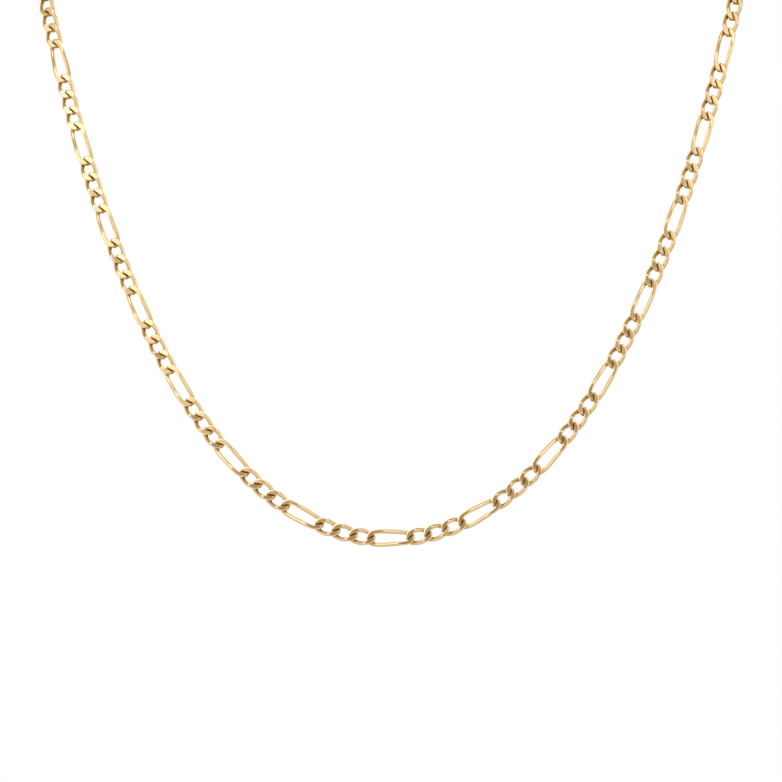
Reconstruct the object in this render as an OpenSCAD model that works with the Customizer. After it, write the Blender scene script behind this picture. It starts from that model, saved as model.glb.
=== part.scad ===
/* [Chain] */
// Patterns of three short links and one long link on each side of the lowest link
side_patterns = 13; // [11:1:17]
// Short links between the last long link and the ring, on each side
end_links = 2; // [0:1:3]
// Width across the links
chain_w = 3; // [2.8:0.05:3.6]
// Thickness of the chain between its two ground faces
chain_t = 1.25; // [1.1:0.05:1.5]
// Diameter of the wire that the links are made of
wire_d = 0.74; // [0.6:0.02:0.76]
// Length of the oval end of a link, as a share of its half width
end_stretch = 1.1; // [1:0.05:1.2]
// Distance from joint to joint along a short link
short_pitch = 3.15; // [3:0.05:4]
// Distance from joint to joint along a long link
long_pitch = 6.9; // [5.5:0.1:9]
// Clear space between the two wires that meet in a joint
joint_gap = 0.15; // [0.12:0.01:0.18]
// Turn of each end of a link out of the plane of the chain, in degrees
end_turn = 47; // [44:1:50]
// Largest roll of single links about the line of the chain, in degrees
link_sway = 1.5; // [0:0.5:2]
// Roll of the links up the two arms of the hanging front, to face outward, in degrees
arm_roll = 4; // [0:1:6]

/* [Drape] */
// Bend radius of the hanging front at its lowest link
front_bend = 28.5; // [26:0.5:32]
// Length of the hanging front on each side, up to the turn over the shoulder
front_l = 125; // [115:1:135]
// Lean of the hanging front from upright, in degrees
front_lean = 16; // [12:1:22]
// Height of the side of the loop, over its lowest point
side_h = 110; // [106:1:116]
// Distance of the side of the loop behind its lowest point
side_back = 44; // [40:1:50]
// Slope of the loop where it passes the side of the neck, in degrees
side_slope = 12; // [6:1:18]
// Height of the nape of the loop, over its lowest point
nape_h = 119; // [114:1:126]
// Distance of the nape behind the lowest point
nape_back = 84; // [78:1:92]

/* [Fastening] */
// Outer diameter of the two rings
ring_d = 4.6; // [4.4:0.1:5.4]
// Diameter of the ring wire
ring_wire_d = 0.8; // [0.6:0.05:0.85]
// Length of the clasp
clasp_l = 11; // [10:0.2:14]
// Width of the clasp at its claw
claw_w = 4.8; // [4.4:0.1:5.6]
// Width of the clasp at its neck
neck_w = 3.4; // [2.8:0.1:4]
// Thickness of the clasp
clasp_t = 1.4; // [1:0.1:1.6]
// Width of the metal around the claw's opening
claw_wall = 1.1; // [0.8:0.05:1.3]
// Length of the claw's opening
opening_l = 5.4; // [4.4:0.2:6]
// Diameter of the hole in the clasp's eye
eye_hole_d = 1.5; // [1.3:0.1:1.7]
// Width of the metal around the hole in the clasp's eye
eye_wall = 0.7; // [0.5:0.05:0.9]
// Clear space between a ring and the clasp
clasp_gap = 0.2; // [0.16:0.02:0.3]

/* [Hidden] */
$fn = 48;

// Wire of a link: cross-sections along it, sides of each section, and the radius
// at which a section with straight sides has the area of the round wire
stations = 12;
sides = 6;
section_r = wire_d / 2 * sqrt(2 * PI / (sides * sin(360 / sides)));

// Centre line of a link: half its width, the length of its oval ends, half its length
wire_r = wire_d / 2;
half_width = chain_w / 2 - wire_r;
end_length = end_stretch * half_width;
function half_length(pitch) = pitch / 2 + joint_gap / 2 + wire_r;

// One pattern of links, and what lies between one end of the chain and the nape
pattern_l = 3 * short_pitch + long_pitch;
ring_hole_r = ring_d / 2 - ring_wire_d;
ring_pitch = 2 * ring_hole_r - joint_gap;
ring_seat = ring_hole_r - sqrt(pow(ring_hole_r, 2) - pow(clasp_t / 2, 2));
clasp_pitch = clasp_l - claw_wall - eye_wall - 2 * (ring_seat + clasp_gap - joint_gap / 2);
side_links = 4 * side_patterns + end_links;
chain_end = long_pitch / 2 + side_patterns * pattern_l + end_links * short_pitch;
half_loop = chain_end + ring_pitch + clasp_pitch / 2;

// Drape: a hanging front, a turn over the shoulder, and a turn round the nape.
// The points run from the lowest link up the right side, with x across,
// y back and z up. BEND is the handle of a cubic curve that turns a quarter.
BEND = 0.552;
front_steps = 60;
turn_steps = 40;
function asinh(v) = ln(v + sqrt(v * v + 1));
function hang(s) = let (rise = norm([s, front_bend]) - front_bend)
    [front_bend * asinh(s / front_bend), rise * sin(front_lean), rise * cos(front_lean)];
function unit(v) = v / norm(v);
function cubic(p, t) = pow(1 - t, 3) * p[0] + 3 * pow(1 - t, 2) * t * p[1]
    + 3 * (1 - t) * t * t * p[2] + t * t * t * p[3];
function samples(p) = [for (i = [1:turn_steps]) cubic(p, i / turn_steps)];

front_end = hang(front_l);
front_dir = unit(hang(front_l + 0.01) - front_end);
side_point = [front_end[0], side_back, side_h];
side_dir = [0, cos(side_slope), sin(side_slope)];
nape_point = [0, nape_back, nape_h];
shoulder_handle = 0.4 * norm(side_point - front_end);
shoulder = [
    front_end,
    front_end + shoulder_handle * front_dir,
    side_point - shoulder_handle * side_dir,
    side_point
];
nape = [
    side_point,
    side_point + BEND * (nape_back - side_back) * side_dir,
    nape_point + [BEND * side_point[0], 0, 0],
    nape_point
];
drape = concat(
    [for (i = [0:front_steps]) hang(front_l * i / front_steps)],
    samples(shoulder),
    samples(nape)
);

// Distance along the drape at each of its points
function running(p) = [for (i = 0, s = 0; i < len(p); i = i + 1,
    s = i < len(p) ? s + norm(p[i] - p[i - 1]) : s) s];
drape_s = running(drape);
drape_l = drape_s[len(drape) - 1];

// The drape is made as long as the chain, with the nape as its origin
loop_scale = half_loop / drape_l;
along = [for (axis = [0:2]) [for (i = [0:len(drape) - 1])
    [drape_s[i] * loop_scale, (drape[i] - nape_point)[axis] * loop_scale]]];
function side_at(s) = [for (axis = [0:2]) lookup(s, along[axis])];
function mirrored(v, s) = s < 0 ? [-v[0], v[1], v[2]] : v;
function wrapped(s) = s > half_loop ? s - 2 * half_loop : s;
function loop_at(s) = mirrored(side_at(abs(wrapped(s))), wrapped(s));

// Direction that the links face: forward in front, then away from the neck's core
turn_start = front_l - 40;
turn_length = 112;
core = [0, 0.48 * nape_back, 0.72 * nape_h] - nape_point;
forward = [0, -cos(front_lean), sin(front_lean)];
function smooth(t) = let (u = min(max(t, 0), 1)) u * u * (3 - 2 * u);
function outward(s) = let (w = smooth((abs(s) - turn_start) / turn_length))
    (1 - w) * forward + w * unit(loop_at(s) - core * loop_scale);

// Roll of the links away from the lowest link, which fades out before the rings
arm_fade = 60;
function side_roll(s) = arm_roll * smooth(abs(s) / arm_fade)
    * smooth((chain_end - abs(s)) / arm_fade);

// Near its ends the chain rolls until its last link stands square to the ring
roll_length = 50;
function end_roll(s) = sign(s) * end_turn
    * smooth(1 - (chain_end - short_pitch / 2 - abs(s)) / roll_length);

// Frame of what lies between two places on the loop: along it, inward, across
function frame(a, b, roll) = let (
    p = loop_at(a),
    q = loop_at(b),
    x = unit(q - p),
    n = outward((a + b) / 2),
    y0 = -unit(n - (n * x) * x),
    z0 = cross(x, y0),
    y = cos(roll) * y0 + sin(roll) * z0,
    z = cross(x, y)
) [x, y, z, (p + q) / 2];
function moved(f, p) = p[0] * f[0] + p[1] * f[1] + p[2] * f[2] + f[3];
module placed(a, b) {
    f = frame(a, b, 0);
    multmatrix([for (row = [0:2]) [f[0][row], f[1][row], f[2][row], f[3][row]]])
        children();
}

// Points of a link, section by section. Each half turns out of the plane the other
// way, and what passes the two faces is ground off.
function link_centre(pitch, i) = let (
    a = (i + 0.5) * 360 / stations,
    flare = 1 / cos(180 / stations),
    x = flare * end_length * cos(a) + sign(cos(a)) * (half_length(pitch) - end_length),
    turn = end_turn * x / half_length(pitch),
    z = flare * half_width * sin(a)
) [x, z * sin(turn), z * cos(turn)];
function ground(p) = [p[0], min(max(p[1], -chain_t / 2), chain_t / 2), p[2]];
function section(pitch, i) = let (
    t = unit(link_centre(pitch, i + 1) - link_centre(pitch, i - 1)),
    n = unit([0, 1, 0] - t[1] * t),
    m = cross(t, n)
) [for (k = [0:sides - 1]) let (b = k * 360 / sides)
    ground(link_centre(pitch, i) + section_r * (cos(b) * n + sin(b) * m))];
function link_points(pitch) = [for (i = [0:stations - 1]) each section(pitch, i)];
short_link = link_points(short_pitch);
long_link = link_points(long_pitch);

// Triangles of a link whose points start at the given place in the list
function corner(start, i, k) = start + (i % stations) * sides + k % sides;
function link_faces(start) = [for (i = [0:stations - 1], k = [0:sides - 1]) each [
    [corner(start, i, k), corner(start, i + 1, k + 1), corner(start, i, k + 1)],
    [corner(start, i, k), corner(start, i + 1, k), corner(start, i + 1, k + 1)]
]];

// Link number j counts from the lowest link, and every fourth one is long.
// A link on the left side has a negative number.
function is_long(j) = j % 4 == 0;
function pitch_of(j) = is_long(j) ? long_pitch : short_pitch;
function link_start(j) = j == 0 ? -long_pitch / 2 : long_pitch / 2
    + floor((j - 1) / 4) * pattern_l + ((j - 1) % 4) * short_pitch;
function place_of(j) = let (s = link_start(abs(j)) + pitch_of(j) / 2) sign(j) * s;
function sway_of(j) = link_sway * sin(137.5 * j);
function link_frame(j) = frame(place_of(j) - pitch_of(j) / 2, place_of(j) + pitch_of(j) / 2,
    end_roll(place_of(j)) + side_roll(place_of(j)) + sway_of(j));
module links(first, last) {
    points = [for (j = [first:last]) let (f = link_frame(j))
        each [for (p = is_long(j) ? long_link : short_link) moved(f, p)]];
    faces = [for (j = [0:last - first]) each link_faces(j * stations * sides)];
    polyhedron(points, faces);
}

module chain_left() {
    color("goldenrod") links(-side_links, -1);
}

module chain_right() {
    color("gold") links(0, side_links);
}

// A ring stands edge on to the faces of the clasp
module ring(a, b) {
    placed(a, b)
        rotate_extrude()
            translate([(ring_d - ring_wire_d) / 2, 0])
                circle(d = ring_wire_d, $fn = 24);
}

module ring_left() {
    color("khaki") ring(-chain_end - ring_pitch, -chain_end);
}

module ring_right() {
    color("khaki") ring(chain_end, chain_end + ring_pitch);
}

// Flat outline of two discs, from left to right, and what lies between them
module tapered(x1, r1, x2, r2) {
    nx = (r1 - r2) / (x2 - x1);
    nz = sqrt(1 - nx * nx);
    translate([x1, 0]) circle(r1);
    translate([x2, 0]) circle(r2);
    polygon([
        [x1 + r1 * nx, r1 * nz],
        [x2 + r2 * nx, r2 * nz],
        [x2 + r2 * nx, -r2 * nz],
        [x1 + r1 * nx, -r1 * nz]
    ]);
}
module plate(t) {
    translate([0, 0, -t / 2]) linear_extrude(t) children();
}

// The clasp lies flat at the nape, its eye on the left and its claw on the right
eye_share = 0.7;
module clasp() {
    claw_r = claw_w / 2;
    neck_r = neck_w / 2;
    eye_r = eye_hole_d / 2 + eye_wall;
    claw_x = claw_r - clasp_l / 2;
    eye_x = clasp_l / 2 - eye_r;
    neck_x = eye_x - eye_hole_d / 2 - neck_r;
    opening_r = neck_r - claw_wall;
    opening_x = claw_wall - clasp_l / 2 + opening_l - opening_r;
    color("darkkhaki")
    placed(half_loop - clasp_pitch / 2, half_loop + clasp_pitch / 2)
    translate([(eye_wall - claw_wall) / 2, 0, 0])
    rotate([-90, 0, 0])
    difference() {
        union() {
            plate(clasp_t) tapered(claw_x, claw_r, neck_x, neck_r);
            plate(clasp_t * eye_share) tapered(neck_x, neck_r, eye_x, eye_r);
        }
        plate(2 * clasp_t) tapered(claw_x, claw_r - claw_wall, opening_x, opening_r);
        plate(2 * clasp_t) translate([eye_x, 0]) circle(d = eye_hole_d);
    }
}

chain_left();
chain_right();
ring_left();
ring_right();
clasp();
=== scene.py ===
import math

import bmesh
import bpy
import numpy as np
from mathutils import Matrix, Vector


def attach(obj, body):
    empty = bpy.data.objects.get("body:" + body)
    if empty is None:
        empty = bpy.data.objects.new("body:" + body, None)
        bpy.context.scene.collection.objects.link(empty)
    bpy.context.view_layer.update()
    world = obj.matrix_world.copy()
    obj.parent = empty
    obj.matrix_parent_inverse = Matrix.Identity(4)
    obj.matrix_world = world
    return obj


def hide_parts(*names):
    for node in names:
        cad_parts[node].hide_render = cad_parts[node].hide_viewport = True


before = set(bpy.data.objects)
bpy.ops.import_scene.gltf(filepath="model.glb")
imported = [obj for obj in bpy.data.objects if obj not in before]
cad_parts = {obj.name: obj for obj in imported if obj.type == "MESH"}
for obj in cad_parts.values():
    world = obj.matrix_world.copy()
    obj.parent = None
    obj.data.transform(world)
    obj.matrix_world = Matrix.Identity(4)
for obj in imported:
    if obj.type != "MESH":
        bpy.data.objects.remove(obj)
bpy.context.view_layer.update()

MM = 0.001
scene = bpy.context.scene

# Sizes of the chain
CHAIN_W = 3.0 * MM
CHAIN_T = 1.25 * MM
WIRE_R = 0.37 * MM
SHORT_PITCH = 3.15 * MM
LONG_PITCH = 6.9 * MM

# Tip of a link: how far its wire's middle lies past the joint, and how far the wire then
# rises out of the chain's plane
TIP_REACH = 0.36 * MM
LIFT = 0.515 * MM

# The wire of a tip, from the middle of the tip up to where it runs along the chain:
# (along the chain and across it in millimetres, share of the full lift)
TIP = [
    (0.00, 0.00, 0.00),
    (0.00, -0.05, 0.55),
    (0.06, 0.07, 0.93),
    (0.30, 0.40, 1.00),
    (0.72, 0.78, 1.00),
    (1.20, 1.03, 1.00),
]
STRAND_STEP = 1.1 * MM  # about how far apart the points of the strand after the tip lie
CURVE_STEPS = 3  # rings of points from each point of the wire's line to the next

# Ground faces: they are slightly crowned, dropping this much from a link's middle to its
# tips, and their edges are softened this far to either side
CROWN = 0.06 * MM
EDGE = 0.012 * MM

# Points of the wire's section: places across a face, as shares of its half width, and how
# many points each round side has. Where a face is narrower than an arc of twice the last
# angle, or there is none, its points are spread over that arc.
FACE_POINTS = np.array([-1, -0.4, 0.4, 1])
ARC_POINTS = 4
LEAST_FACE = math.radians(38)

# Beside a joint the wire is pressed: it is broader by a share of its width, and lies
# further from the slit. It is pressed little at the tip's middle and fully past a rise, and
# the pressing fades between two places. All three are measured across the chain.
PRESS = 0.35
PRESS_SHIFT = 0.12 * MM
PRESS_AT_TIP = 0.2  # share of the pressing at the tip's middle
PRESS_RISE = 0.4 * MM
PRESS_FADE = (0.55 * MM, 1.13 * MM)
PRESS_LIFT = (0.5, 0.9)  # shares of the lift between which the pressing begins

# Slit between two links that meet: its slant to the chain and half its width at the faces,
# the half depth over which the links touch, the depth at which it is fully open, and half
# its length at both depths
SLIT_SLANT = math.radians(33)
SLIT_HALF = 0.115 * MM
SLIT_TOUCH = 0.05 * MM
SLIT_OPEN = 0.25 * MM
SLIT_TOUCH_HALF_LENGTH = 0.55 * MM
SLIT_HALF_LENGTH = 1.0 * MM
SLIT_POINTS = 7  # along the slit
SLIT_LEVELS = 3  # from where the links touch to where the slit is fully open

# Rounded, polished lips of the slit: their radius, the height at which they end, close to
# the ground face, the slants of their points, and how much further the cutter opens just
# above them and at its end
LIP_R = 0.05 * MM
LIP_TOP = 0.568 * MM
LIP_SLANTS = np.radians([75, 50, 25, 0])
LIP_CLEAR = 0.03 * MM
LIP_CLEAR_END = 0.04 * MM
CUTTER_DEPTH = 1.0 * MM  # how far the cutter reaches past the slit

# Painted shade on the corners beside a joint: how near the corners are, and over what distance the
# shade fades
PAINTED_SHADE_NEAR = 0.75 * MM
PAINTED_SHADE_FADE = 0.75 * MM

# Links hang a little turned about the chain, and differ a little in tone. The steps from
# link to link are such that neither repeats soon.
LINK_ROLL = math.radians(2)
ROLL_STEP = 2.4
TONE_STEP = 0.618034

MERGE = 0.001 * MM  # points that lie closer are one point
SAME = 1e-9  # numbers that differ by less are the same
SHARP = math.radians(40)  # edges that bend more are drawn sharp

# Slots of a link's materials
# the recess slot holds the dark gold of painted shade
POLISHED, GROUND, RECESS = 0, 1, 2


def smooth(t):
    """A soft step: 0 up to 0, 1 from 1 on."""
    t = np.clip(t, 0, 1)
    return t * t * (3 - 2 * t)


def unit(v):
    """Vectors brought to length 1."""
    return v / np.linalg.norm(v, axis=-1, keepdims=True)


# Camera, at the photograph's viewing angle

CAMERA_AIM = (0.47, -85.0, -92.93)  # millimetres
CAMERA_DISTANCE = 0.8
CAMERA_TURN = math.radians(2.74)
CAMERA_ROLL = math.radians(-0.79)
CAMERA_CLIP = (0.05, 20.0)
SENSOR = 36.0  # millimetres
LENS = 211.7


def add_camera():
    """A long lens, level with the middle of the hanging front and a little to its right."""
    aim = Vector(CAMERA_AIM) * MM
    data = bpy.data.cameras.new("camera")
    data.sensor_width = SENSOR
    data.lens = LENS
    data.clip_start, data.clip_end = CAMERA_CLIP
    camera = bpy.data.objects.new("camera", data)
    away = Vector((math.sin(CAMERA_TURN), -math.cos(CAMERA_TURN), 0.0))
    camera.location = aim + CAMERA_DISTANCE * away
    forward = (aim - camera.location).normalized()
    look = forward.to_track_quat("-Z", "Y").to_matrix().to_4x4()
    camera.rotation_mode = "QUATERNION"
    camera.rotation_quaternion = (look @ Matrix.Rotation(CAMERA_ROLL, 4, "Z")).to_quaternion()
    scene.collection.objects.link(camera)
    scene.camera = camera


# Node trees

NOISE_RANGE = (0.3, 0.7)  # of the noise node's output
NOISE_DETAIL = 3.0
BUMP_DETAIL = 4.0


class Nodes:
    """Short ways to add nodes to a tree and to link them."""

    def __init__(self, tree):
        self.tree = tree

    def add(self, kind, **values):
        """A new node, with some of its settings or of its inputs' values."""
        made = self.tree.nodes.new("ShaderNode" + kind)
        for key, value in values.items():
            if key in made.inputs:
                made.inputs[key].default_value = value
            else:
                setattr(made, key, value)
        return made

    def link(self, source, target):
        """Link an output to an input."""
        self.tree.links.new(source, target)

    def remapped(self, value, source, target=(0, 1), kind="LINEAR"):
        """A number carried from one range to another."""
        made = self.add("MapRange", interpolation_type=kind)
        names = ("From Min", "From Max", "To Min", "To Max")
        for name, number in zip(names, (*source, *target)):
            made.inputs[name].default_value = number
        self.link(value, made.inputs["Value"])
        return made.outputs[0]

    def product(self, first, second):
        """The product of two outputs."""
        made = self.add("Math", operation="MULTIPLY")
        self.link(first, made.inputs[0])
        self.link(second, made.inputs[1])
        return made.outputs[0]

    def mixed(self, share, first, second):
        """A mix of two colours. The first is a colour or another node's output."""
        made = self.add("MixRGB", Color2=(*second, 1))
        self.link(share, made.inputs["Fac"])
        if isinstance(first, tuple):
            made.inputs["Color1"].default_value = (*first, 1)
        else:
            self.link(first, made.inputs["Color1"])
        return made.outputs[0]

    def attribute(self, name, output):
        """A number or a place that is stored at the points of the mesh."""
        return self.add("Attribute", attribute_name=name).outputs[output]

    def stretched(self, place, stretch):
        """The coordinates, stretched by a factor on each axis."""
        made = self.add("Mapping", Scale=stretch)
        self.link(place, made.inputs["Vector"])
        return made.outputs[0]

    def noise(self, place, scale, span=(0, 1)):
        """A number that wanders within a span over the surface."""
        made = self.add("TexNoise", Scale=scale, Detail=NOISE_DETAIL)
        self.link(place, made.inputs["Vector"])
        return self.remapped(made.outputs[0], NOISE_RANGE, span)

    def bump(self, shader, place, scale, height):
        """Fine unevenness of a given height."""
        noise = self.add("TexNoise", Scale=scale, Detail=BUMP_DETAIL)
        self.link(place, noise.inputs["Vector"])
        made = self.add("Bump", Strength=1.0, Distance=height)
        self.link(noise.outputs[0], made.inputs["Height"])
        self.link(made.outputs[0], shader.inputs["Normal"])


# Light and floor

# What the metal mirrors: a pale studio with a bright backdrop, a dimmer room high up between
# the lights and the backdrop, and a dim patch above the camera, which the leaning ground
# faces mirror. Each change is a soft step between two values: of the height or the depth of
# a direction for the room, and of the angle in degrees from its middle for the patch.
STUDIO_COLOR = (1.01, 1.01, 1.01)
ROOM_COLOR = (0.47, 0.39, 0.27)
ROOM_HEIGHT = (0.15, 0.4)
ROOM_DEPTH = (-0.68, -0.4)
ROOM_BACK = (0.5, 0.05)
PATCH_COLOR = (0.33, 0.275, 0.225)
PATCH_WAY = (0.0, -0.89, 0.45)
PATCH_FADE = (22, 7)

SEEN_COLOR = (1, 1, 1, 1)  # what the camera sees behind the necklace

# Softboxes: place, size, how bright they look in a mirror, and colour
LEFT_SOFTBOX = ((-0.23, -0.5, 0.34), (0.3, 0.38), 0.75, (1.0, 1.0, 1.0))
RIGHT_SOFTBOX = ((0.18, -0.5, 0.4), (0.32, 0.32), 0.55, (1.0, 0.9, 0.84))
LIGHT_AIM = (0.0, -0.08, -0.06)

FLOOR_HALF = 2.7
FLOOR_HEIGHT = -0.45
FLOOR_COLOR = (0.93, 0.92, 0.9, 1)
FLOOR_ROUGHNESS = 0.8


def mirrored_color(nodes):
    """The colour of the world in each direction, as the metal mirrors it."""
    way = nodes.add("TexCoord").outputs["Generated"]
    split = nodes.add("SeparateXYZ")
    nodes.link(way, split.inputs[0])
    high = nodes.remapped(split.outputs["Z"], ROOM_HEIGHT, kind="SMOOTHSTEP")
    past_lights = nodes.remapped(split.outputs["Y"], ROOM_DEPTH, kind="SMOOTHSTEP")
    before_backdrop = nodes.remapped(split.outputs["Y"], ROOM_BACK, kind="SMOOTHSTEP")
    room = nodes.product(nodes.product(high, past_lights), before_backdrop)
    towards = nodes.add("VectorMath", operation="DOT_PRODUCT")
    nodes.link(way, towards.inputs[0])
    towards.inputs[1].default_value = PATCH_WAY
    fade = [math.cos(math.radians(angle)) for angle in PATCH_FADE]
    patch = nodes.remapped(towards.outputs["Value"], fade, kind="SMOOTHSTEP")
    return nodes.mixed(patch, nodes.mixed(room, STUDIO_COLOR, ROOM_COLOR), PATCH_COLOR)


def add_world():
    """White to the camera, and the studio in reflections."""
    world = bpy.data.worlds.new("studio")
    scene.world = world
    world.use_nodes = True
    world.node_tree.nodes.clear()
    nodes = Nodes(world.node_tree)
    mirrored = nodes.add("Background")
    nodes.link(mirrored_color(nodes), mirrored.inputs["Color"])
    seen = nodes.add("Background", Color=SEEN_COLOR)
    mix = nodes.add("MixShader")
    nodes.link(nodes.add("LightPath").outputs["Is Camera Ray"], mix.inputs[0])
    nodes.link(mirrored.outputs[0], mix.inputs[1])
    nodes.link(seen.outputs[0], mix.inputs[2])
    nodes.link(mix.outputs[0], nodes.add("OutputWorld").inputs[0])


def add_softbox(name, place, size, radiance, color):
    """A softbox: its power is worked out from how bright it looks in a mirror."""
    data = bpy.data.lights.new(name, "AREA")
    data.shape = "RECTANGLE"
    data.size, data.size_y = size
    data.energy = radiance * math.pi * size[0] * size[1]
    data.color = color
    lamp = bpy.data.objects.new(name, data)
    lamp.location = place
    lamp.rotation_mode = "QUATERNION"
    lamp.rotation_quaternion = (Vector(LIGHT_AIM) - lamp.location).to_track_quat("-Z", "Y")
    scene.collection.objects.link(lamp)


def add_floor():
    """A plain pale floor, well below the necklace."""
    corners = [(-1, -1), (1, -1), (1, 1), (-1, 1)]
    mesh = bpy.data.meshes.new("floor")
    points = [(x * FLOOR_HALF, y * FLOOR_HALF, FLOOR_HEIGHT) for x, y in corners]
    mesh.from_pydata(points, [], [(0, 1, 2, 3)])
    material = bpy.data.materials.new("floor")
    material.use_nodes = True
    shader = material.node_tree.nodes["Principled BSDF"]
    shader.inputs["Base Color"].default_value = FLOOR_COLOR
    shader.inputs["Roughness"].default_value = FLOOR_ROUGHNESS
    mesh.materials.append(material)
    floor = bpy.data.objects.new("floor", mesh)
    scene.collection.objects.link(floor)


# Gold: two shades for each finish, between which it varies

POLISHED_SHADES = ((0.94, 0.715, 0.38), (0.98, 0.755, 0.42))
GROUND_SHADES = ((0.94, 0.705, 0.37), (0.98, 0.745, 0.41))
# painted shade: the dark gold of the slit walls and the clasp's lines
SLIT_PAINTED_SHADES = ((0.2, 0.055, 0.001), (0.3, 0.095, 0.003))
CAST_SHADES = ((0.92, 0.68, 0.33), (0.96, 0.73, 0.38))
# painted shade: the darker gold laid on the wire near the joints
PAINTED_JOINT_SHADE = (0.66, 0.4, 0.09)
# the slit walls' grazing reflections tinted dark, part of their painted shade
SLIT_PAINTED_SHADE_TINT = (0.4, 0.18, 0.03, 1)
CORNER_DULL = 0.12  # how much rougher the corners are
GRINDING = (22.0, 1.0, 1.4)  # stretch that draws the noise out into lines across a face


def new_metal(name):
    """A new metal: the material, its node tools and its shader."""
    material = bpy.data.materials.new(name)
    material.use_nodes = True
    shader = material.node_tree.nodes["Principled BSDF"]
    shader.inputs["Metallic"].default_value = 1.0
    return material, Nodes(material.node_tree), shader


def polished_gold():
    """Round wire: bright, with painted shade that darkens it near the joints, where it is also
    rougher.
    """
    material, nodes, shader = new_metal("polished_gold")
    place = nodes.attribute("link_place", "Vector")
    corner = nodes.attribute("corner", "Fac")
    bright = nodes.mixed(nodes.attribute("link_tone", "Fac"), *POLISHED_SHADES)
    # painted shade near the joints, mixed into the base colour
    nodes.link(nodes.mixed(corner, bright, PAINTED_JOINT_SHADE), shader.inputs["Base Color"])
    dull = nodes.add("Math", operation="MULTIPLY_ADD")
    nodes.link(corner, dull.inputs[0])
    dull.inputs[1].default_value = CORNER_DULL
    nodes.link(nodes.noise(place, scale=1.6, span=(0.07, 0.14)), dull.inputs[2])
    nodes.link(dull.outputs[0], shader.inputs["Roughness"])
    nodes.bump(shader, place, scale=9.0, height=0.003 * MM)
    return material


def ground_gold():
    """Ground faces: fine lines across the chain, and a shade that differs from link to link."""
    material, nodes, shader = new_metal("ground_gold")
    lines = nodes.stretched(nodes.attribute("link_place", "Vector"), GRINDING)
    shade = nodes.mixed(nodes.attribute("link_tone", "Fac"), *GROUND_SHADES)
    nodes.link(shade, shader.inputs["Base Color"])
    roughness = nodes.noise(lines, scale=1.0, span=(0.12, 0.22))
    nodes.link(roughness, shader.inputs["Roughness"])
    nodes.bump(shader, lines, scale=1.0, height=0.004 * MM)
    return material


def slit_painted_shade_gold():
    """Walls of the slits: rougher metal in a dark colour, painted shade for the shade deep in the
    slits.
    """
    material, nodes, shader = new_metal("slit_painted_shade_gold")
    place = nodes.attribute("link_place", "Vector")
    shade = nodes.mixed(nodes.noise(place, scale=3.0), *SLIT_PAINTED_SHADES)
    nodes.link(shade, shader.inputs["Base Color"])
    shader.inputs["Specular Tint"].default_value = SLIT_PAINTED_SHADE_TINT
    roughness = nodes.noise(place, scale=5.0, span=(0.25, 0.4))
    nodes.link(roughness, shader.inputs["Roughness"])
    nodes.bump(shader, place, scale=12.0, height=0.004 * MM)
    return material


def cast_gold(name, fine):
    """The rings and the clasp: polished, with faint unevenness and a slight change of shade."""
    material, nodes, shader = new_metal(name)
    place = nodes.add("TexCoord").outputs["Object"]
    shade = nodes.mixed(nodes.noise(place, scale=700.0), *CAST_SHADES)
    nodes.link(shade, shader.inputs["Base Color"])
    roughness = nodes.noise(place, scale=1500.0, span=(0.1, 0.2))
    nodes.link(roughness, shader.inputs["Roughness"])
    nodes.bump(shader, place, scale=fine, height=0.004 * MM)
    return material


# Solids, and pieces made of them


def mesh_of(name, points, faces, slots, materials):
    """A mesh whose faces each have one of the materials, by its slot."""
    mesh = bpy.data.meshes.new(name)
    mesh.from_pydata(np.asarray(points).tolist(), [], [tuple(map(int, f)) for f in faces])
    for material in materials:
        mesh.materials.append(material)
    mesh.polygons.foreach_set("material_index", np.array(slots, dtype=np.int32))
    return mesh


def solid_object(name, points, faces, slots, materials):
    """A closed mesh object whose faces all point outwards."""
    mesh = mesh_of(name, points, faces, slots, materials)
    bm = bmesh.new()
    bm.from_mesh(mesh)
    bmesh.ops.recalc_face_normals(bm, faces=bm.faces)
    bm.to_mesh(mesh)
    bm.free()
    made = bpy.data.objects.new(name, mesh)
    scene.collection.objects.link(made)
    return made


def combine(first, other, operation):
    """Cut the second closed solid from the first, or join it on."""
    step = first.modifiers.new(operation.lower(), "BOOLEAN")
    step.operation = operation
    step.solver = "MANIFOLD"
    step.material_mode = "INDEX"
    step.object = other


def result_of(*solids):
    """The first solid's mesh after its cuts. The solids themselves are taken away."""
    graph = bpy.context.evaluated_depsgraph_get()
    done = bpy.data.meshes.new_from_object(solids[0].evaluated_get(graph))
    for used in solids:
        bpy.data.objects.remove(used)
    return done


def split_large_faces(bm):
    """Faces of more than four corners become triangles."""
    bmesh.ops.triangulate(bm, faces=[f for f in bm.faces if len(f.verts) > 4])


def grid_faces(rows, around, closed=False):
    """Faces from each ring of points to the next and, if closed, from the last to the first."""
    faces = []
    for i in range(rows if closed else rows - 1):
        here, there = i * around, (i + 1) % rows * around
        for k in range(around):
            after = (k + 1) % around
            faces.append((here + k, there + k, there + after, here + after))
    return faces


def finished(name, mesh, node):
    """Put a mesh in the scene as the piece that stands for a CAD node."""
    mesh.polygons.foreach_set("use_smooth", np.ones(len(mesh.polygons), bool))
    mesh.set_sharp_from_angle(angle=SHARP)
    mesh.update()
    piece = bpy.data.objects.new(name, mesh)
    scene.collection.objects.link(piece)
    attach(piece, "root")
    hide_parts(node)


# Links, along X and with their faces to the front and the back


def quarter_line(pitch):
    """The wire's middle from the middle of the left tip to the middle of the upper strand."""
    half = pitch / 2 + TIP_REACH
    strand = CHAIN_W / 2 - WIRE_R
    tip_end = TIP[-1][0] * MM
    points = [(along * MM, across * MM, lift) for along, across, lift in TIP]
    steps = max(1, round((half - tip_end) / STRAND_STEP))
    for along in np.linspace(tip_end, half, steps + 1)[1:]:
        points.append((along, strand, 1.0))
    along, across, lift = np.array(points).T
    return np.stack([along - half, -LIFT * lift * (1 - (along / half) ** 2), across], 1)


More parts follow.
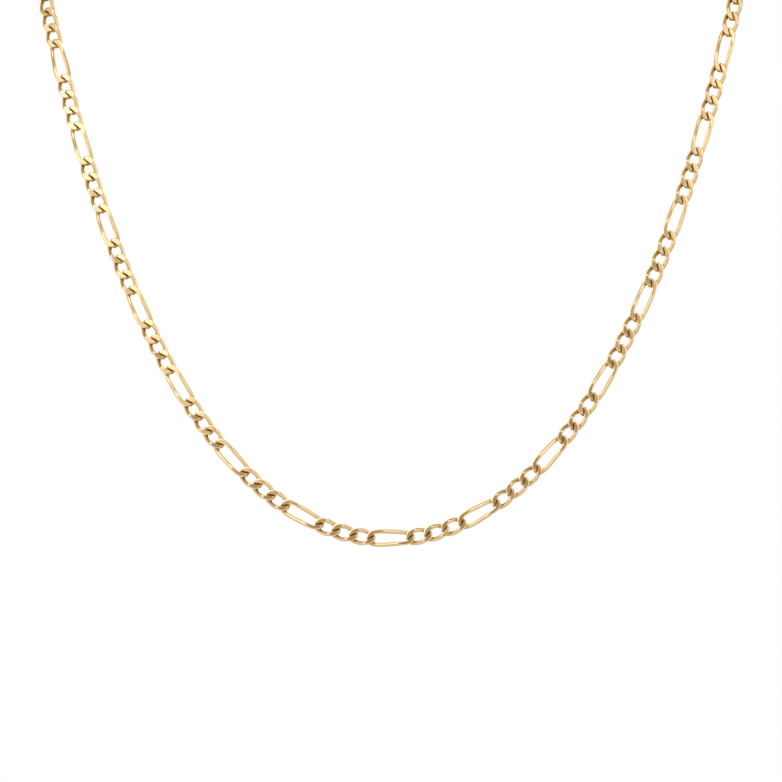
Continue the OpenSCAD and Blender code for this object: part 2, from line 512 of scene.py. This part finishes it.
def centre_line(pitch):
    """The closed line of the wire's middle, a smooth curve through the quarter's four images."""
    quarter = quarter_line(pitch)
    top = np.concatenate([quarter[:-1], (quarter * [-1, -1, 1])[:0:-1]])
    loop = np.concatenate([top, top * [-1, 1, -1]])
    before, after, beyond = (np.roll(loop, -k, 0) for k in (-1, 1, 2))
    curve = []
    for t in np.arange(CURVE_STEPS) / CURVE_STEPS:
        curve.append(0.5 * (
            2 * loop
            + (after - before) * t
            + (2 * before - 5 * loop + 4 * after - beyond) * t ** 2
            + (3 * loop - before - 3 * after + beyond) * t ** 3
        ))
    return np.stack(curve, 1).reshape(-1, 3)


def pressing(line):
    """How much the wire is pressed: 1 beside a joint, 0 along the strands and inside a tip."""
    lift = np.abs(line[:, 1]) / LIFT
    across = np.abs(line[:, 2])
    begun = smooth((lift - PRESS_LIFT[0]) / (PRESS_LIFT[1] - PRESS_LIFT[0]))
    risen = PRESS_AT_TIP + (1 - PRESS_AT_TIP) * smooth(across / PRESS_RISE)
    faded = smooth((across - PRESS_FADE[0]) / (PRESS_FADE[1] - PRESS_FADE[0]))
    return begun * risen * (1 - faded)


def ground_side(depth):
    """One side of the wire, ground down to a depth from its middle.

    It gives points as (outwards, along the face), which of them lie on the ground face, and
    the angle at which the round part begins.
    """
    reach = math.acos(min(max(depth / WIRE_R, -1), 1))
    width = max(reach, LEAST_FACE)
    half_face = WIRE_R * math.sin(width) - (EDGE if reach > LEAST_FACE else 0)
    along = FACE_POINTS * half_face
    out = np.minimum(np.sqrt(WIRE_R ** 2 - along ** 2), depth)
    return np.stack([out, along], 1), out > depth - SAME, width + EDGE / WIRE_R


def round_side(start, end):
    """Points of the wire's round part, from one angle to another."""
    angle = np.linspace(start, end, ARC_POINTS)
    return WIRE_R * np.stack([np.cos(angle), np.sin(angle)], 1)


def section(back_depth, front_depth):
    """The wire's outline, ground on its back and its front, and which points are ground."""
    back, back_ground, back_start = ground_side(back_depth)
    front, front_ground, front_start = ground_side(front_depth)
    first = round_side(back_start, math.pi - front_start)
    second = round_side(math.pi + front_start, 2 * math.pi - back_start)
    not_ground = np.zeros(ARC_POINTS, bool)
    ground = np.concatenate([back_ground, not_ground, front_ground, not_ground])
    return np.concatenate([back, first, -front, second]), ground


def link_rings(pitch):
    """Rings of points round the wire, and which of the points lie on a ground face."""
    line = centre_line(pitch)
    along = unit(np.roll(line, -1, 0) - np.roll(line, 1, 0))
    through = unit(np.array([0.0, 1.0, 0.0]) - along[:, 1:2] * along)
    sideways = np.cross(along, through)
    heights = CHAIN_T / 2 - CROWN * (line[:, 0] / line[:, 0].max()) ** 2
    pressed = pressing(line)
    broad = 1 + PRESS * pressed
    moved = PRESS_SHIFT * pressed * np.sign(sideways[:, 0] * line[:, 0])
    rings, grounds = [], []
    for i, middle in enumerate(line):
        back_depth = (heights[i] - middle[1]) / through[i, 1]
        front_depth = (heights[i] + middle[1]) / through[i, 1]
        shape, ground = section(back_depth, front_depth)
        across = broad[i] * shape[:, 1:] + moved[i]
        rings.append(middle + shape[:, :1] * through[i] + across * sideways[i])
        grounds.append(ground)
    return np.array(rings), np.array(grounds)


def uncut_link(pitch):
    """A link's mesh before its slits are cut: polished gold, and ground gold on its faces."""
    rings, grounds = link_rings(pitch)
    faces = grid_faces(*rings.shape[:2], closed=True)
    ground = grounds.ravel()
    slots = [GROUND if ground[list(face)].all() else POLISHED for face in faces]
    return rings.reshape(-1, 3), faces, slots


def slit_levels():
    """Depths through a link, front to back, and how far the lips draw back at each."""
    inner = np.linspace(SLIT_TOUCH, SLIT_OPEN, SLIT_LEVELS)
    lips = LIP_TOP - LIP_R * (1 - np.cos(LIP_SLANTS))
    drawn = LIP_R * (1 - np.sin(LIP_SLANTS))
    levels = np.concatenate([inner, lips, [LIP_TOP + LIP_CLEAR, CHAIN_T]])
    widths = np.concatenate([0 * inner, drawn, [LIP_R + LIP_CLEAR, LIP_R + LIP_CLEAR_END]])
    return np.concatenate([-levels[::-1], levels]), np.concatenate([widths[::-1], widths])


def slit_edges(level, drawn):
    """The cutter's edge in the slit at a depth, and its far edge, along and across the chain."""
    share = float(smooth((abs(level) - SLIT_TOUCH) / (SLIT_OPEN - SLIT_TOUCH)))
    slant = math.pi / 2 + np.sign(level) * (math.pi / 2 - SLIT_SLANT) * share
    line = np.array([math.cos(slant), math.sin(slant)])
    out = np.array([-math.sin(slant), math.cos(slant)])
    reach = SLIT_TOUCH_HALF_LENGTH + (SLIT_HALF_LENGTH - SLIT_TOUCH_HALF_LENGTH) * share
    along = np.linspace(-reach, reach, SLIT_POINTS)[:, None]
    bulge = (SLIT_HALF * share + drawn) * (1 - (along / SLIT_HALF_LENGTH) ** 4)
    return along * line - bulge * out, along * line + CUTTER_DEPTH * out


def cutter_faces(levels):
    """Faces of the cutter, whose near and far sides are grids of points."""
    rows, columns = len(levels), SLIT_POINTS
    near, far = np.arange(2 * rows * columns).reshape(2, rows, columns)
    faces, slots = [], []
    for i in range(rows - 1):
        on_lip = min(abs(levels[i]), abs(levels[i + 1])) > SLIT_OPEN + MERGE
        for j in range(columns - 1):
            faces.append((near[i, j], near[i, j + 1], near[i + 1, j + 1], near[i + 1, j]))
            faces.append((far[i, j], far[i + 1, j], far[i + 1, j + 1], far[i, j + 1]))
            # the slit's walls take the dark gold of painted shade, its lips the polished gold
            slots += [POLISHED if on_lip else RECESS, RECESS]
        for j in (0, columns - 1):
            faces.append((near[i, j], near[i + 1, j], far[i + 1, j], far[i, j]))
            slots.append(RECESS)
    for j in range(columns - 1):
        for i in (0, rows - 1):
            faces.append((near[i, j], far[i, j], far[i, j + 1], near[i, j + 1]))
            slots.append(RECESS)
    return faces, slots


def slit_cutter(pitch, side):
    """What is cut from a link's tip: all that lies past a twisted face through the joint."""
    levels, drawn = slit_levels()
    near, far = [], []
    for level, width in zip(levels, drawn):
        depth = np.full(SLIT_POINTS, level)
        for rows, edge in zip((near, far), slit_edges(level, width)):
            along = side * (edge[:, 0] + pitch / 2)
            rows.append(np.column_stack([along, depth, side * edge[:, 1]]))
    return np.concatenate(near + far), *cutter_faces(levels)


def link_mesh(pitch):
    """(points, faces, material slot of each face) of one link, at the origin."""
    link = solid_object("one_link", *uncut_link(pitch), chain_golds)
    cutters = []
    for side in (-1, 1):
        cutter = solid_object("slit_cutter", *slit_cutter(pitch, side), chain_golds)
        combine(link, cutter, "DIFFERENCE")
        cutters.append(cutter)
    bm = bmesh.new()
    bm.from_mesh(result_of(link, *cutters))
    bmesh.ops.dissolve_degenerate(bm, edges=bm.edges, dist=MERGE)
    split_large_faces(bm)
    points = np.array([v.co[:] for v in bm.verts])
    faces = [tuple(v.index for v in f.verts) for f in bm.faces]
    slots = [f.material_index for f in bm.faces]
    bm.free()
    return points, faces, slots


# Chain


def islands(node):
    """The separate solids of a node, each as an array of its corners."""
    bm = bmesh.new()
    bm.from_mesh(node.data)
    bmesh.ops.remove_doubles(bm, verts=bm.verts, dist=MERGE)
    seen, found = set(), []
    for start in bm.verts:
        if start in seen:
            continue
        seen.add(start)
        waiting, members = [start], []
        while waiting:
            vert = waiting.pop()
            members.append(tuple(vert.co))
            for edge in vert.link_edges:
                other = edge.other_vert(vert)
                if other not in seen:
                    seen.add(other)
                    waiting.append(other)
        found.append(np.array(members))
    bm.free()
    return found


def flat_axes(corners):
    """Axes of a flat solid: the longest way, the second longest, and through it."""
    _, _, axes = np.linalg.svd(corners - corners.mean(0), full_matrices=False)
    return axes


def link_place(corners):
    """A link's middle, its axes (along the chain, through it and across it) and its length."""
    middle = corners.mean(0)
    along, across, _ = flat_axes(corners)
    along = along * np.sign(along[np.abs(along).argmax()])
    through = np.cross(across, along)
    return middle, np.array([along, through, across]), np.ptp((corners - middle) @ along)


def painted_joint_shade(points, pitch):
    """Painted shade: 1 close to a joint, where the next link shades the wire, 0 further off."""
    ends = (-pitch / 2, pitch / 2)
    near = np.minimum(*(np.hypot(points[:, 0] - end, points[:, 2]) for end in ends))
    return 1 - smooth((near - PAINTED_SHADE_NEAR) / PAINTED_SHADE_FADE)


def add_numbers(mesh, name, values):
    """A number, or a place of three numbers, at every point of a mesh."""
    kind, key = ("FLOAT", "value") if values.ndim == 1 else ("FLOAT_VECTOR", "vector")
    mesh.attributes.new(name, kind, "POINT").data.foreach_set(key, values.ravel())


def rolled(points, angle):
    """Points turned about the chain's direction."""
    cos, sin = math.cos(angle), math.sin(angle)
    return points @ np.array([[1, 0, 0], [0, cos, sin], [0, -sin, cos]])


def placed_links(node):
    """For each CAD solid of a side: its link's pitch, its points in place, and its tone."""
    long_from = (SHORT_PITCH + LONG_PITCH) / 2 + 2 * WIRE_R
    for number, solid in enumerate(islands(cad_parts[node])):
        middle, axes, length = link_place(solid)
        pitch = LONG_PITCH if length > long_from else SHORT_PITCH
        turned = rolled(link_meshes[pitch][0], LINK_ROLL * math.sin(number * ROLL_STEP))
        yield pitch, turned @ axes + middle, number * TONE_STEP % 1


def add_chain(name, node):
    """All the links of one side, each in the place of its CAD solid."""
    points, faces, slots, count = [], [], [], 0
    stored = {"link_place": [], "corner": [], "link_tone": []}
    for pitch, placed, tone in placed_links(node):
        link_points, link_faces, link_slots = link_meshes[pitch]
        points.append(placed)
        faces += [tuple(corner + count for corner in face) for face in link_faces]
        slots += link_slots
        stored["link_place"].append(link_points / MM)
        # painted shade near the joints, kept as the corner number
        stored["corner"].append(painted_joint_shade(link_points, pitch))
        stored["link_tone"].append(np.full(len(link_points), tone))
        count += len(link_points)
    mesh = mesh_of(name, np.concatenate(points), faces, slots, chain_golds)
    for key, values in stored.items():
        add_numbers(mesh, key, np.concatenate(values))
    finished(name, mesh, node)


# Rings between the chain and the clasp, with a fine groove where the bent wire's ends meet

RING_R = 1.9 * MM
RING_WIRE_R = 0.4 * MM
RING_TURNS = 128  # points along the wire
RING_AROUND = 32  # points around the wire
RING_CROWDING = 0.9  # how much the points crowd on the side opposite the groove
SEAM_DEPTH = 0.05 * MM
SEAM_WIDTH = 0.08 * MM


def node_corners(name):
    """The corners of a CAD node, in the scene's frame."""
    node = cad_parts[name]
    return np.array([node.matrix_world @ v.co for v in node.data.vertices])


def box_middle(corners):
    """The middle of the box that holds the corners."""
    return (corners.min(0) + corners.max(0)) / 2


def ring_points():
    """Points of a flat ring about the origin, thinner at its groove."""
    even = np.arange(RING_TURNS) * 2 * math.pi / RING_TURNS
    angle = math.pi - even - RING_CROWDING * np.sin(even)
    from_seam = RING_R * (np.mod(angle, 2 * math.pi) - math.pi)
    wire = (RING_WIRE_R - SEAM_DEPTH * np.exp(-(from_seam / SEAM_WIDTH) ** 2))[:, None]
    angle = angle[:, None]
    turn = np.arange(RING_AROUND) * 2 * math.pi / RING_AROUND
    radius = RING_R + wire * np.cos(turn)
    points = [radius * np.cos(angle), radius * np.sin(angle), wire * np.sin(turn)]
    return np.stack(points, 2).reshape(-1, 3)


def add_ring(name, node):
    """A ring of bent wire, in the place of its CAD node."""
    corners = node_corners(node)
    points = ring_points() @ flat_axes(corners) + box_middle(corners)
    faces = grid_faces(RING_TURNS, RING_AROUND, closed=True)
    ring = solid_object(name, points, faces, [0] * len(faces), (ring_gold,))
    finished(name, result_of(ring), node)


# Clasp, in millimetres along its own axes: plates round two discs each, as (place along the
# clasp, radius), their thicknesses and the radii of their rounded edges

BODY = ((-3.1, 2.4), (1.6, 1.7))
TAIL = ((1.6, 1.7), (4.05, 1.45))
CLAW_OPENING = ((-3.1, 1.3), (0.4, 0.6))
EYE = ((4.05, 0.75), (4.05, 0.75))
BODY_T = 1.4
TAIL_T = 0.98
BODY_ROUND = 0.5
TAIL_ROUND = 0.32
HOLE_ROUND = 0.22
CUT_T = 2.0  # thickness of what is cut right through the clasp

# Lines where the gate meets the claw's tip and its hinge: their places along the clasp,
# their size, and where across the clasp they start and end
GATE_LINES = (-3.1, 1.0)
LINE_WIDTH = 0.12
LINE_DEPTH = 0.1
LINE_SPAN = (0.3, 2.6)

# Rivet: its place along and across the clasp, and a groove round it on each face
RIVET_PLACE = (1.55, 0.55)
RIVET = ((0, 0.42), (0, 0.42))
RIVET_GROOVE_DEPTH = 0.06
RIVET_GROOVE_WIDTH = 0.09
RIVET_HEIGHT = 0.1  # of the disc that keeps the groove off the rivet

# Slots of the clasp's materials
CAST, LINE = 0, 1


def outline(discs, grow, steps=40):
    """The line round two discs and the straight sides between them, grown by a width."""
    (x1, r1), (x2, r2) = discs
    if x1 == x2:
        angle = np.linspace(0, 2 * math.pi, 2 * steps, endpoint=False)
        return np.stack([x1 + (r1 + grow) * np.cos(angle), (r1 + grow) * np.sin(angle)], 1)
    lean = math.acos((r1 - r2) / (x2 - x1))
    sides = []
    for x, r, start, end in ((x1, r1, lean, 2 * math.pi - lean), (x2, r2, -lean, lean)):
        angle = np.linspace(start, end, steps)
        sides.append(np.stack([x + (r + grow) * np.cos(angle), (r + grow) * np.sin(angle)], 1))
    return np.concatenate(sides)


def plate(discs, heights, grows, slot=CAST, place=(0, 0)):
    """A closed solid of one outline per height, each grown by its own width."""
    rows = [outline(discs, grow) + place for grow in grows]
    around = len(rows[0])
    flat = np.concatenate(rows)
    points = np.column_stack([flat, np.repeat(heights, around)])
    faces = grid_faces(len(rows), around)
    faces.append(tuple(range(around)))
    faces.append(tuple(range(len(points) - around, len(points))))
    return solid_object("plate", points, faces, [slot] * len(faces), clasp_golds)


def rounded(thickness, radius, steps=8):
    """Heights through a plate and how far its outline draws in at each, for round edges."""
    turn = np.linspace(0, math.pi / 2, steps)
    height = thickness / 2 - radius + radius * np.sin(turn)
    draw = radius * (1 - np.cos(turn))
    return np.concatenate([-height[::-1], height]), np.concatenate([draw[::-1], draw])


def rounded_plate(discs, thickness, radius):
    """A plate whose edges are rounded."""
    heights, draws = rounded(thickness, radius)
    return plate(discs, heights, -draws)


def hole(discs, thickness, radius, grow=0.0):
    """What is cut for an opening whose edges are rounded, grown by a width."""
    heights, draws = rounded(thickness, radius)
    heights = np.concatenate([[-CUT_T / 2], heights, [CUT_T / 2]])
    draws = np.concatenate([draws[:1], draws, draws[-1:]]) + grow
    return plate(discs, heights, draws)


def clasp_core():
    """The body drawn in all round by a line's depth, and what is cut from it: no line is deeper."""
    discs = tuple((x, r - LINE_DEPTH) for x, r in BODY)
    core = rounded_plate(discs, BODY_T - 2 * LINE_DEPTH, BODY_ROUND - LINE_DEPTH)
    opening = hole(CLAW_OPENING, BODY_T, HOLE_ROUND, grow=LINE_DEPTH)
    combine(core, opening, "DIFFERENCE")
    return core, opening


def gate_line(along, core):
    """A thin slab across the clasp's upper side, without the core."""
    left, right = along - LINE_WIDTH / 2, along + LINE_WIDTH / 2
    low, high = LINE_SPAN
    corners = ((left, low), (right, low), (right, high), (left, high))
    points = [(x, y, z) for z in (-CUT_T / 2, CUT_T / 2) for x, y in corners]
    faces = [*grid_faces(2, 4), (0, 1, 2, 3), (4, 5, 6, 7)]
    slab = solid_object("gate_line", points, faces, [LINE] * len(faces), clasp_golds)
    combine(slab, core, "DIFFERENCE")
    return slab


def rivet_groove(side):
    """A shallow disc on one face, without the smaller disc of the rivet itself."""
    face = side * BODY_T / 2
    depths = np.array([-1, 1])
    groove = plate(RIVET, face + RIVET_GROOVE_DEPTH * depths, (0, 0), LINE, RIVET_PLACE)
    narrower = (-RIVET_GROOVE_WIDTH, -RIVET_GROOVE_WIDTH)
    rivet = plate(RIVET, face + RIVET_HEIGHT * depths, narrower, LINE, RIVET_PLACE)
    combine(groove, rivet, "DIFFERENCE")
    return groove, rivet


def clasp_mesh():
    """The claw clasp: its body and tail with their openings, gate lines and rivet."""
    body = rounded_plate(BODY, BODY_T, BODY_ROUND)
    tail = rounded_plate(TAIL, TAIL_T, TAIL_ROUND)
    opening = hole(CLAW_OPENING, BODY_T, HOLE_ROUND)
    eye = hole(EYE, TAIL_T, HOLE_ROUND)
    core, core_opening = clasp_core()
    lines = [gate_line(along, core) for along in GATE_LINES]
    grooves, rivets = zip(*(rivet_groove(side) for side in (-1, 1)))
    combine(body, tail, "UNION")
    cutters = (opening, eye, *grooves, *lines)
    for cutter in cutters:
        combine(body, cutter, "DIFFERENCE")
    return result_of(body, tail, core, core_opening, *rivets, *cutters)


def add_clasp():
    """The clasp, in the place of its CAD node."""
    corners = node_corners("clasp")
    axes = flat_axes(corners)
    axes[0] *= -np.sign(axes[0][0])
    axes[1] *= np.sign(axes[1][2])
    axes[2] = np.cross(axes[0], axes[1])
    mesh = clasp_mesh()
    points = np.array([v.co[:] for v in mesh.vertices]) * MM @ axes + box_middle(corners)
    mesh.vertices.foreach_set("co", points.ravel())
    bm = bmesh.new()
    bm.from_mesh(mesh)
    split_large_faces(bm)
    bmesh.ops.recalc_face_normals(bm, faces=bm.faces)
    bm.to_mesh(mesh)
    bm.free()
    finished("clasp_body", mesh, "clasp")


# The scene

add_camera()
add_world()
add_softbox("left_softbox", *LEFT_SOFTBOX)
add_softbox("right_softbox", *RIGHT_SOFTBOX)
add_floor()
scene.view_settings.view_transform = "Standard"

chain_golds = (polished_gold(), ground_gold(), slit_painted_shade_gold())
ring_gold = cast_gold("ring_gold_polished", fine=5000.0)
# the clasp's lines and rivet grooves take the slits' dark gold: painted shade in them
clasp_golds = (cast_gold("clasp_gold_cast", fine=3500.0), chain_golds[RECESS])

link_meshes = {pitch: link_mesh(pitch) for pitch in (SHORT_PITCH, LONG_PITCH)}
add_chain("links_left", "chain_left")
add_chain("links_right", "chain_right")
add_ring("ring_left_wire", "ring_left")
add_ring("ring_right_wire", "ring_right")
add_clasp()
